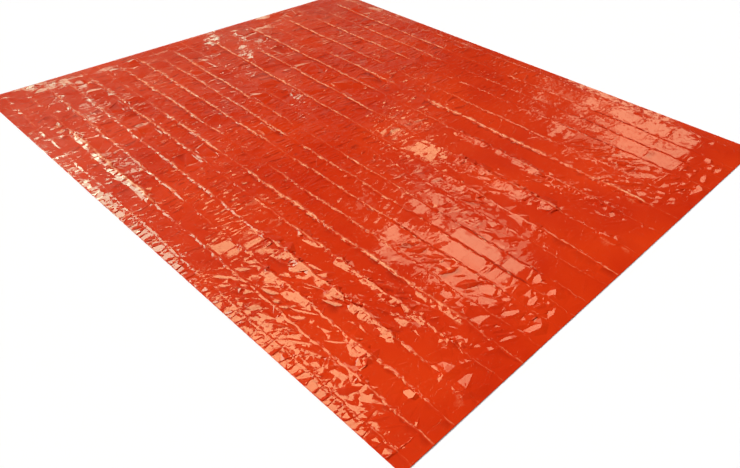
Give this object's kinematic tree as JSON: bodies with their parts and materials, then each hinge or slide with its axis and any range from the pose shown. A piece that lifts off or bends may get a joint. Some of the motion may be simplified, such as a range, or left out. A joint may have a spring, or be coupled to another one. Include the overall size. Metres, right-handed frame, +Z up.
{
  "type": "emergency sleeping bag",
  "caption": "Wide emergency sleeping bag of thin glossy orange film, lying unfolded with its packing creases, open at the mouth and welded along its foot and one side.",
  "frame": {"origin": "middle of the bag on the floor that it lies on", "axes": "+X across the bag from the welded long side to the folded one, +Y along it from the open mouth to the foot, +Z up"},
  "size_m": [1.8, 2.13, 0.0172],
  "materials": {
    "orange_film": "glossy thin film, creased, paler along its folds"
  },
  "bodies": {
    "root": {"film_bag": "orange_film"}
  },
  "joints": []
}
